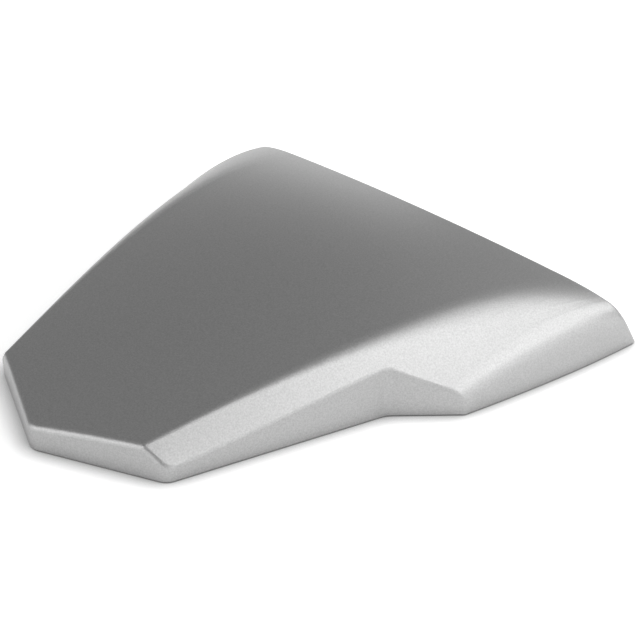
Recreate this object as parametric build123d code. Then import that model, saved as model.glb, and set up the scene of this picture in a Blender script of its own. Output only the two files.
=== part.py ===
"""Motorbike seat cowl: one moulded shell, open underneath and at the wide end.

Millimetres. +Y points forward to the rider, where the wide end is, +X to the rider's
right and +Z up. The origin is under the middle of the shell, level with its bottom rim.
"""
import os
from collections import namedtuple
from math import hypot, radians, tan, tanh

from build123d import *

# overall sizes
length = 300.0
width = 295.0
crest_height = 47.5
wall = 3.0

# plan outline of the tail half, measured from the nose tip
nose_half = 69.0
nose_depth = 30.5
waist_half = 101.9
waist_y = 147.6
return_angle = 42.7
nose_tip_round = 10.0
nose_corner_round = 9.0
waist_round = 14.0

# the wide end is cut by a plane that leans back from the lower front corners
rim_lean = 31.0

# the flanks open out towards the bottom rim
flank_draft = 0.5

# edges
top_edge_round = 3.5
rim_edge_break = 1.0
least_round = 0.8

# fixing lugs inside the bottom rim, one pair ahead of the middle and one behind
front_lug_y = 80.0
rear_lug_y = -80.0
lug_hole = 6.5
lug_width = 18.0
lug_thick = 3.0
lug_lift = 4.0
lug_bolt_in = 10.0
gusset_thick = 2.0
gusset_rise = 9.0

# how far the construction solids run past the shell
spare = 30.0

# The hood's section at four even stations, from the nose tip to the lower front corners.
# crown: height of the middle; drop: from there down to the shoulder; base: half the width
# at the bottom; inboard: how far the shoulder lies inside the base; knee: height where the
# band turns into the flank; sag: hollow of the band; the legs are the reach of the roundings
# of shoulder and knee.
Station = namedtuple("Station", "crown drop base inboard knee sag shoulder_leg knee_leg")
tail = Station(crown=14.6, drop=1.2, base=92.0, inboard=41.3, knee=-15.5, sag=0.0,
               shoulder_leg=1.3, knee_leg=2.0)
waist = Station(crown=38.0, drop=2.8, base=112.0, inboard=33.2, knee=-13.0, sag=0.5,
                shoulder_leg=3.9, knee_leg=2.0)
crest = Station(crown=crest_height, drop=3.6, base=134.0, inboard=26.7, knee=20.2, sag=0.0,
                shoulder_leg=11.0, knee_leg=10.0)
front = Station(crown=32.1, drop=4.8, base=width / 2, inboard=21.4, knee=21.2, sag=0.0,
                shoulder_leg=16.0, knee_leg=14.0)


def hood_size(name, y):
    """A size of the hood's section at y from the nose tip: a cubic through the four stations."""
    s = 3 * y / length
    a, b, c, d = (getattr(station, name) for station in (tail, waist, crest, front))
    return (-a * (s - 1) * (s - 2) * (s - 3) / 6 + b * s * (s - 2) * (s - 3) / 2
            - c * s * (s - 1) * (s - 3) / 2 + d * s * (s - 1) * (s - 2) / 6)


def moved_aside(points, distance):
    """An open line of points moved to its right, mitred at its corners."""
    ways = []
    for (x0, y0), (x1, y1) in zip(points, points[1:]):
        run = hypot(x1 - x0, y1 - y0)
        ways.append(((y1 - y0) / run, (x0 - x1) / run))
    moved = []
    for (x, y), (au, av), (bu, bv) in zip(points, ways[:1] + ways, ways + ways[-1:]):
        share = distance / (1 + au * bu + av * bv)
        moved.append((x + (au + bu) * share, y + (av + bv) * share))
    return moved


def towards(p, q, distance):
    """The point a distance along the way from p to q, short of q."""
    share = tanh(distance / hypot(q[0] - p[0], q[1] - p[1]))
    return (p[0] + (q[0] - p[0]) * share, p[1] + (q[1] - p[1]) * share)


def hood_section(y, inset):
    """A section across the hood, y from the nose tip: crown, shoulder, band, knee, flank."""
    spread = tan(radians(flank_draft))
    base = hood_size("base", y)
    crown = hood_size("crown", y)
    drop = hood_size("drop", y)
    level = hood_size("knee", y)
    shoulder = (base - hood_size("inboard", y), crown - drop)
    knee = (base - level * spread, level)
    foot = (base + spare * spread, -spare)
    across, down = knee[0] - shoulder[0], shoulder[1] - knee[1]
    sag = hood_size("sag", y) / hypot(across, down)
    middle = (shoulder[0] + across / 2 - down * sag, shoulder[1] - down / 2 - across * sag)
    start = (0.0, shoulder[1] + 2 * drop)

    start, shoulder, middle, knee, foot = moved_aside([start, shoulder, middle, knee, foot], inset)
    crown -= inset
    leg = max(hood_size("shoulder_leg", y) - 0.4 * inset, least_round)
    bend = max(hood_size("knee_leg", y) - 0.3 * inset, least_round)
    edge = shoulder[0] - leg
    rise = (crown - shoulder[1]) * (edge / shoulder[0]) ** 2
    brow = (edge, crown - rise)
    peak = (0.0, crown + rise)
    corner = (shoulder[0], brow[1] - 2 * rise * leg / edge)
    upper = towards(corner, middle, leg)
    lower = towards(knee, middle, bend)
    side = towards(knee, foot, bend)

    def right(p):
        return (p[0], y - length / 2, p[1])

    def left(p):
        return (-p[0], y - length / 2, p[1])

    return Face(Wire([
        Line(left(foot), left(side)),
        Bezier(left(side), left(knee), left(lower)),
        Bezier(left(lower), left(middle), left(upper)),
        Bezier(left(upper), left(corner), left(brow)),
        Bezier(left(brow), right(peak), right(brow)),
        Bezier(right(brow), right(corner), right(upper)),
        Bezier(right(upper), right(middle), right(lower)),
        Bezier(right(lower), right(knee), right(side)),
        Line(right(side), right(foot)),
        Line(right(foot), left(foot)),
    ]))


def hood(inset):
    """The solid under the upper surface, run past the shell at both ends and below."""
    stations = [length * (0.06 * i - 0.08) for i in range(20)]
    return loft([hood_section(y, inset) for y in stations])


def plan(inset, floor):
    """The standing outline of nose, side walls and returns, run past the wide end."""
    reach = width / 2 + spare
    out = waist_y + (reach - waist_half) / tan(radians(return_angle))
    half = [(0.0, 0.0), (nose_half, nose_depth), (waist_half, waist_y), (reach, out)]
    chain = [(-x, y) for x, y in reversed(half)] + half[1:]
    chain = [Vector(x, y - length / 2, floor) for x, y in moved_aside(chain, -inset)]
    ends = [Vector(chain[-1].X, length, floor), Vector(chain[0].X, length, floor)]
    face = Face(Wire.make_polygon(chain + ends, close=True))
    rounds = (waist_round + inset, nose_corner_round - inset, nose_tip_round - inset,
              nose_corner_round - inset, waist_round + inset)
    for corner, radius in zip(chain[1:6], rounds):
        nearest = min(face.vertices(), key=lambda v: (Vector(v) - corner).length)
        face = face.fillet_2d(max(radius, least_round), [nearest])
    return extrude(face, amount=2 * crest_height - floor, dir=(0, 0, 1))


def all_along(edge, distance):
    """True where an edge keeps to a plane: distance gives how far a point is from it."""
    return max(abs(distance(edge.position_at(t))) for t in (0.0, 0.5, 1.0)) < 0.01


def above_floor(point):
    return point.Z


def ahead_of_rim(point):
    return rim_plane.to_local_coords(point).Z


def stands(edge):
    """True for a plumb edge."""
    way = edge.position_at(1) - edge.position_at(0)
    return hypot(way.X, way.Y) < 0.01


# the outside: the hood trimmed by the standing outline and by the leaning plane. It runs below
# the floor until the trimmed edges of its top are rounded
rim_plane = Plane(origin=(0, length / 2, 0), x_dir=(1, 0, 0),
                  z_dir=(0, 1, tan(radians(rim_lean))))
outside = (hood(0) & plan(0, -spare / 2)).split(rim_plane, keep=Keep.BOTTOM)
plumb_faces = [f for f in outside.faces() if abs(f.normal_at(f.center()).Z) < 0.01]
trims = [e for f in plumb_faces for e in f.edges() if e.bounding_box().max.Z > 0 and not stands(e)]
outside = fillet(trims, top_edge_round).split(Plane.XY, keep=Keep.TOP)

# the edges round the bottom and round the wide end are broken
rims = [e for e in outside.edges() if all_along(e, above_floor) != all_along(e, ahead_of_rim)]
outside = chamfer(rims, rim_edge_break)

# the hollow
shell = outside - (hood(wall) & plan(wall, -1))

# lugs with a bolt hole and two gussets each, run half way into the wall they stand on
half_wall = hood(wall / 2) & plan(wall / 2, 0)
front_x = hood_size("base", front_lug_y + length / 2) - wall - lug_bolt_in
rear_share = (rear_lug_y + length / 2 - nose_depth) / (waist_y - nose_depth)
rear_x = nose_half + (waist_half - nose_half) * rear_share - wall - lug_bolt_in
for x, y in ((front_x, front_lug_y), (rear_x, rear_lug_y)):
    outline = Circle(lug_width / 2) + Pos(spare / 2, 0) * Rectangle(spare, lug_width)
    lug = extrude(outline - Circle(lug_hole / 2), amount=lug_thick, dir=(0, 0, 1))
    rib = Plane.XZ * Polygon((0, 0), (spare, 0), (spare, gusset_rise + spare), (lug_bolt_in, gusset_rise),
                             align=None)
    for side in (-1, 1):
        middle = side * (lug_width - gusset_thick) / 2
        lug += Pos(0, middle, lug_thick) * extrude(rib, amount=gusset_thick / 2, both=True)
    lug = (Pos(x, y, lug_lift) * lug) & half_wall
    shell += lug
    shell += mirror(lug, Plane.YZ)

box = shell.bounding_box()
shell = Pos(0, -box.center().Y, -box.min.Z) * shell.solid()

os.makedirs("parts", exist_ok=True)
export_step(shell, "parts/cowl_shell.step")
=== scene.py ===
"""Looks of a motorbike seat cowl: its silver paint, and a plain white studio to see it in.

Laid out as an add-on and run as a script. Metres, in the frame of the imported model: +Y points
forward to the rider, +X to the rider's right and +Z up.
"""
from collections import namedtuple
from math import cos, radians, sin

import bpy
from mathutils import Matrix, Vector
from mathutils.bvhtree import BVHTree


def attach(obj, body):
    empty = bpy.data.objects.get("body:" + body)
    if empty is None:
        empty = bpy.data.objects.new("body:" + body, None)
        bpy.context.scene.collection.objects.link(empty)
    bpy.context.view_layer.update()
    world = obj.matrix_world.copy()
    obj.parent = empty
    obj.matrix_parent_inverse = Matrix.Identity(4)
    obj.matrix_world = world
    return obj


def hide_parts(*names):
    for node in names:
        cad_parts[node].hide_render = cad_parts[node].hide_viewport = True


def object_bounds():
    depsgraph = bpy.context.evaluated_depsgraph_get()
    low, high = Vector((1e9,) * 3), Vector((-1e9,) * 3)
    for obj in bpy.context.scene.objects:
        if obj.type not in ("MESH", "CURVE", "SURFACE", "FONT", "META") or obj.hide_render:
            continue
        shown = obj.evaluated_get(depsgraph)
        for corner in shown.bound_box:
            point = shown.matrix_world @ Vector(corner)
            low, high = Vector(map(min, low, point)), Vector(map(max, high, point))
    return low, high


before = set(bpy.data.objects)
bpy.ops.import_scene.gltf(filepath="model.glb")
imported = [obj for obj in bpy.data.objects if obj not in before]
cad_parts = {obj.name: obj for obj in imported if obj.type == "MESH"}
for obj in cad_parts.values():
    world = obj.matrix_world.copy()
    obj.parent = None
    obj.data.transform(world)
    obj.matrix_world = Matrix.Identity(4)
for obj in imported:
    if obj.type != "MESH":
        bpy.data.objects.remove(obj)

bl_info = {
    "name": "Motorbike Seat Cowl",
    "version": (1, 0, 0),
    "blender": (4, 5, 0),
    "location": "View3D > Sidebar > Seat Cowl",
    "description": "Paints a motorbike seat cowl and sets it in a white studio",
    "category": "Object",
}

CAD_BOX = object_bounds()
MM = 0.001

# faces of the broken bottom edge, which lie lower than this, are painted
RIM_BREAK = 1.1 * MM

# how far off a face the look upwards from it starts
FACE_CLEARANCE = 0.05 * MM

# a noise texture keeps nearly all its values between these two
NOISE_LOW, NOISE_HIGH = 0.3, 0.7

# side of the square floor in metres
FLOOR_SIDE = 8.0

# the lamps: metres in the model's frame, and watts
Lamp = namedtuple("Lamp", "name place target size watts")
LAMPS = (
    # ahead, above and to the right
    Lamp("key_softbox", (0.626, 0.525, 0.736), (0, 0, 0), (2.2, 1.0), 13.6),
    # low on the right
    Lamp("side_panel", (1.08, 0.19, 0.22), (0, 0, 0.22), (1.6, 0.44), 2.6),
    # behind the tail
    Lamp("rear_panel", (-0.1, -1.06, 0.35), (0, 0, 0.35), (1.4, 0.7), 4.6),
    # ahead, low on the left
    Lamp("far_panel", (-0.95, 0.6, 0.15), (0, 0, 0.15), (1.0, 0.3), 1.0),
)


def linear(hex_colour):
    """A colour written as sRGB hex, as linear red, green, blue and alpha."""
    levels = [int(hex_colour[i:i + 2], 16) / 255 for i in (1, 3, 5)]
    return tuple(v / 12.92 if v <= 0.04045 else ((v + 0.055) / 1.055) ** 2.4 for v in levels) + (1.0,)


def add_node(tree, kind, settings=None, inputs=None):
    """A shader node with its settings, and its inputs set to a value or linked to a socket."""
    node = tree.nodes.new(kind)
    for name, value in (settings or {}).items():
        setattr(node, name, value)
    for name, value in (inputs or {}).items():
        if isinstance(value, bpy.types.NodeSocket):
            tree.links.new(value, node.inputs[name])
        else:
            node.inputs[name].default_value = value
    return node


def new_tree(owner):
    """The emptied node tree of a material or world."""
    owner.use_nodes = True
    owner.node_tree.nodes.clear()
    return owner.node_tree


class CowlPaint(bpy.types.PropertyGroup):
    """The finish of the shell: silver lacquer outside, bare plastic inside."""
    silver: bpy.props.FloatVectorProperty(
        name="Silver", description="Colour of the metal flakes", subtype="COLOR", size=4,
        min=0, max=1, default=linear("#ACACAC"))
    flake_size: bpy.props.FloatProperty(
        name="Flake size", description="Width of one patch of flakes", unit="LENGTH",
        default=0.8 * MM, min=0.05 * MM)
    roughness: bpy.props.FloatProperty(
        name="Roughness", description="How far the lacquer spreads a reflection",
        subtype="FACTOR", default=0.42, min=0, max=1)
    bare: bpy.props.FloatVectorProperty(
        name="Bare plastic", description="Colour of the unpainted inside", subtype="COLOR", size=4,
        min=0, max=1, default=linear("#2E2E30"))
    grain: bpy.props.FloatProperty(
        name="Mould grain", description="Width of one pit of the mould's texture", unit="LENGTH",
        default=0.7 * MM, min=0.05 * MM)


class CowlStudio(bpy.types.PropertyGroup):
    """The camera, the lights and the floor."""
    azimuth: bpy.props.FloatProperty(
        name="Azimuth", description="Camera's way round from behind the tail", subtype="ANGLE",
        default=radians(46.083))
    elevation: bpy.props.FloatProperty(
        name="Elevation", description="Camera's angle above the floor", subtype="ANGLE",
        default=radians(31.034))
    distance: bpy.props.FloatProperty(
        name="Distance", description="From the camera to the point it looks at", unit="LENGTH",
        default=823.4 * MM)
    target: bpy.props.FloatVectorProperty(
        name="Target", description="Point that the camera looks at", subtype="XYZ", unit="LENGTH",
        default=(52.79 * MM, -2.09 * MM, 36.39 * MM))
    lens: bpy.props.FloatProperty(
        name="Lens", description="Focal length in millimetres on a 36 mm sensor", unit="CAMERA",
        default=89.28)
    floor_white: bpy.props.FloatVectorProperty(
        name="Floor", description="Colour of the floor", subtype="COLOR", size=4,
        min=0, max=1, default=linear("#F4F4F4"))
    floor_glow: bpy.props.FloatProperty(
        name="Floor glow", description="Light of the floor itself, for the camera and reflections",
        default=0.42, min=0, max=1)
    # reach of the floor's painted shade beside the lower edges
    contact: bpy.props.FloatProperty(
        name="Contact shade", description="How far the shade of the lower edges reaches over the floor",
        unit="LENGTH", default=10 * MM, min=1 * MM)
    room_light: bpy.props.FloatProperty(
        name="Room light", description="Even light from all round", default=0.35, min=0, max=1)


def mottled(tree, colour, patch, detail, contrast):
    """A colour broken up into lighter and darker patches of a real width: its noise and its result."""
    place = add_node(tree, "ShaderNodeTexCoord")
    noise = add_node(tree, "ShaderNodeTexNoise", {"noise_dimensions": "3D"},
                     {"Vector": place.outputs["Object"], "Scale": 1 / patch, "Detail": detail})
    tone = add_node(tree, "ShaderNodeMapRange", None,
                    {"Value": noise.outputs["Fac"], "From Min": NOISE_LOW, "From Max": NOISE_HIGH,
                     "To Min": 1 - contrast, "To Max": 1 + contrast})
    mixed = add_node(tree, "ShaderNodeVectorMath", {"operation": "SCALE"},
                     {0: colour[:3], "Scale": tone.outputs["Result"]})
    return noise.outputs["Fac"], mixed.outputs["Vector"]


def silver_lacquer(paint):
    """Silver metallic lacquer sprayed on moulded ABS.

    Aluminium flakes lie nearly flat in a satin binder: a metal's reflection spread wide, with a
    fine sparkle where flakes tilt away. Single flakes of about 0.03 mm are too fine to show, so
    patches of them are drawn.
    """
    material = bpy.data.materials.new("silver_metallic_lacquer_satin")
    tree = new_tree(material)
    _, silver = mottled(tree, paint.silver, paint.flake_size, detail=1.0, contrast=0.1)
    shader = add_node(tree, "ShaderNodeBsdfPrincipled", None,
                      {"Base Color": silver, "Metallic": 1.0, "Roughness": paint.roughness})
    add_node(tree, "ShaderNodeOutputMaterial", None, {"Surface": shader.outputs["BSDF"]})
    return material


def bare_abs(paint):
    """Black ABS as it came out of the mould, on the inside that no paint reaches.

    A dull sheen, broken up by the fine pits of an eroded mould. Real pits are about 0.2 mm wide
    and are drawn coarser, so that they show.
    """
    material = bpy.data.materials.new("black_abs_moulded")
    tree = new_tree(material)
    pits, black = mottled(tree, paint.bare, paint.grain, detail=2.0, contrast=0.15)
    bump = add_node(tree, "ShaderNodeBump", None,
                    {"Height": pits, "Strength": 0.4, "Distance": 0.1 * MM})
    shader = add_node(tree, "ShaderNodeBsdfPrincipled", None,
                      {"Base Color": black, "Roughness": 0.55, "IOR": 1.54,
                       "Normal": bump.outputs["Normal"]})
    add_node(tree, "ShaderNodeOutputMaterial", None, {"Surface": shader.outputs["BSDF"]})
    return material


def white_floor(studio):
    """White studio floor: matt, with a glow that only the camera and reflections see.

    Both are darkened close to what stands on it by an ambient occlusion node, a painted shade where the
    room's light can't get in.
    """
    material = bpy.data.materials.new("white_matt_floor")
    tree = new_tree(material)
    path = add_node(tree, "ShaderNodeLightPath")
    seen = add_node(tree, "ShaderNodeMath", {"operation": "MAXIMUM"},
                    {0: path.outputs["Is Camera Ray"], 1: path.outputs["Is Glossy Ray"]})
    seen = add_node(tree, "ShaderNodeMath", {"operation": "MAXIMUM"},
                    {0: seen.outputs[0], 1: path.outputs["Is Transmission Ray"]})
    # painted shade: ambient occlusion darkens the floor's colour and its glow next to the object
    painted_contact_shade = add_node(tree, "ShaderNodeAmbientOcclusion", {"samples": 8},
                      {"Color": studio.floor_white, "Distance": studio.contact})
    glow = add_node(tree, "ShaderNodeMath", {"operation": "MULTIPLY"},
                    {0: painted_contact_shade.outputs["AO"], 1: studio.floor_glow})
    strength = add_node(tree, "ShaderNodeMath", {"operation": "MULTIPLY"},
                        {0: seen.outputs[0], 1: glow.outputs[0]})
    matt = add_node(tree, "ShaderNodeBsdfDiffuse", None, {"Color": painted_contact_shade.outputs["Color"]})
    light = add_node(tree, "ShaderNodeEmission", None,
                     {"Color": (1, 1, 1, 1), "Strength": strength.outputs[0]})
    both = add_node(tree, "ShaderNodeAddShader", None,
                    {0: matt.outputs["BSDF"], 1: light.outputs["Emission"]})
    add_node(tree, "ShaderNodeOutputMaterial", None, {"Surface": both.outputs["Shader"]})
    return material


def under_hood(face, tree):
    """True for a face of the hollow: another wall lies straight above it."""
    start = face.center + face.normal * FACE_CLEARANCE
    place_above = tree.ray_cast(start, Vector((0, 0, 1)))[0]
    return face.center.z > RIM_BREAK and place_above is not None


class COWL_OT_paint_shell(bpy.types.Operator):
    """Paints the outside of the moulded shell silver and leaves its hollow bare"""
    bl_idname = "cowl.paint_shell"
    bl_label = "Paint Shell"

    def execute(self, context):
        paint = context.scene.cowl_paint
        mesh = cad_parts["cowl_shell"].data.copy()
        mesh.materials.clear()
        mesh.materials.append(silver_lacquer(paint))
        mesh.materials.append(bare_abs(paint))
        tree = BVHTree.FromPolygons([v.co for v in mesh.vertices], [f.vertices for f in mesh.polygons])
        for face in mesh.polygons:
            face.material_index = int(under_hood(face, tree))
        shell = bpy.data.objects.new("painted_shell", mesh)
        context.scene.collection.objects.link(shell)
        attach(shell, "root")
        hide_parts("cowl_shell")
        return {"FINISHED"}


def add_softbox(collection, lamp):
    """A rectangular area lamp that faces its target."""
    data = bpy.data.lights.new(lamp.name, "AREA")
    data.shape = "RECTANGLE"
    data.size, data.size_y = lamp.size
    data.energy = lamp.watts
    softbox = bpy.data.objects.new(lamp.name, data)
    softbox.location = lamp.place
    aim = Vector(lamp.target) - Vector(lamp.place)
    softbox.rotation_euler = aim.to_track_quat("-Z", "Y").to_euler()
    collection.objects.link(softbox)


def even_room(light):
    """A world of one even pale light."""
    world = bpy.data.worlds.new("dim_room")
    tree = new_tree(world)
    sky = add_node(tree, "ShaderNodeBackground", None, {"Color": (1, 1, 1, 1), "Strength": light})
    add_node(tree, "ShaderNodeOutputWorld", None, {"Surface": sky.outputs["Background"]})
    return world


def photo_camera(studio):
    """A camera that looks at the target from its angles and distance."""
    data = bpy.data.cameras.new("camera")
    data.lens = studio.lens
    camera = bpy.data.objects.new("camera", data)
    back = Vector((sin(studio.azimuth) * cos(studio.elevation),
                   -cos(studio.azimuth) * cos(studio.elevation), sin(studio.elevation)))
    camera.location = Vector(studio.target) + back * studio.distance
    camera.rotation_euler = back.to_track_quat("Z", "Y").to_euler()
    return camera


class COWL_OT_build_stage(bpy.types.Operator):
    """Adds the floor, the lamps and the camera"""
    bl_idname = "cowl.build_stage"
    bl_label = "Build Stage"

    def execute(self, context):
        scene = context.scene
        studio = scene.cowl_studio
        bpy.ops.mesh.primitive_plane_add(size=FLOOR_SIDE, location=(0, 0, CAD_BOX[0].z))
        floor = context.object
        floor.name = "floor"
        floor.data.materials.append(white_floor(studio))

        for lamp in LAMPS:
            add_softbox(scene.collection, lamp)
        scene.world = even_room(studio.room_light)

        camera = photo_camera(studio)
        scene.collection.objects.link(camera)
        scene.camera = camera
        scene.view_settings.view_transform = "Standard"
        return {"FINISHED"}


class COWL_PT_sidebar(bpy.types.Panel):
    """The cowl's settings and steps"""
    bl_label = "Seat Cowl"
    bl_idname = "COWL_PT_sidebar"
    bl_space_type = "VIEW_3D"
    bl_region_type = "UI"
    bl_category = "Seat Cowl"

    def draw(self, context):
        for group, operator in ((context.scene.cowl_paint, "cowl.paint_shell"),
                                (context.scene.cowl_studio, "cowl.build_stage")):
            box = self.layout.box()
            for name in group.__annotations__:
                box.prop(group, name)
            box.operator(operator)


CLASSES = (CowlPaint, CowlStudio, COWL_OT_paint_shell, COWL_OT_build_stage, COWL_PT_sidebar)


def register():
    for cls in CLASSES:
        bpy.utils.register_class(cls)
    bpy.types.Scene.cowl_paint = bpy.props.PointerProperty(type=CowlPaint)
    bpy.types.Scene.cowl_studio = bpy.props.PointerProperty(type=CowlStudio)


def unregister():
    del bpy.types.Scene.cowl_studio
    del bpy.types.Scene.cowl_paint
    for cls in reversed(CLASSES):
        bpy.utils.unregister_class(cls)


def main():
    register()
    bpy.ops.cowl.paint_shell()
    bpy.ops.cowl.build_stage()


if __name__ == "__main__":
    main()
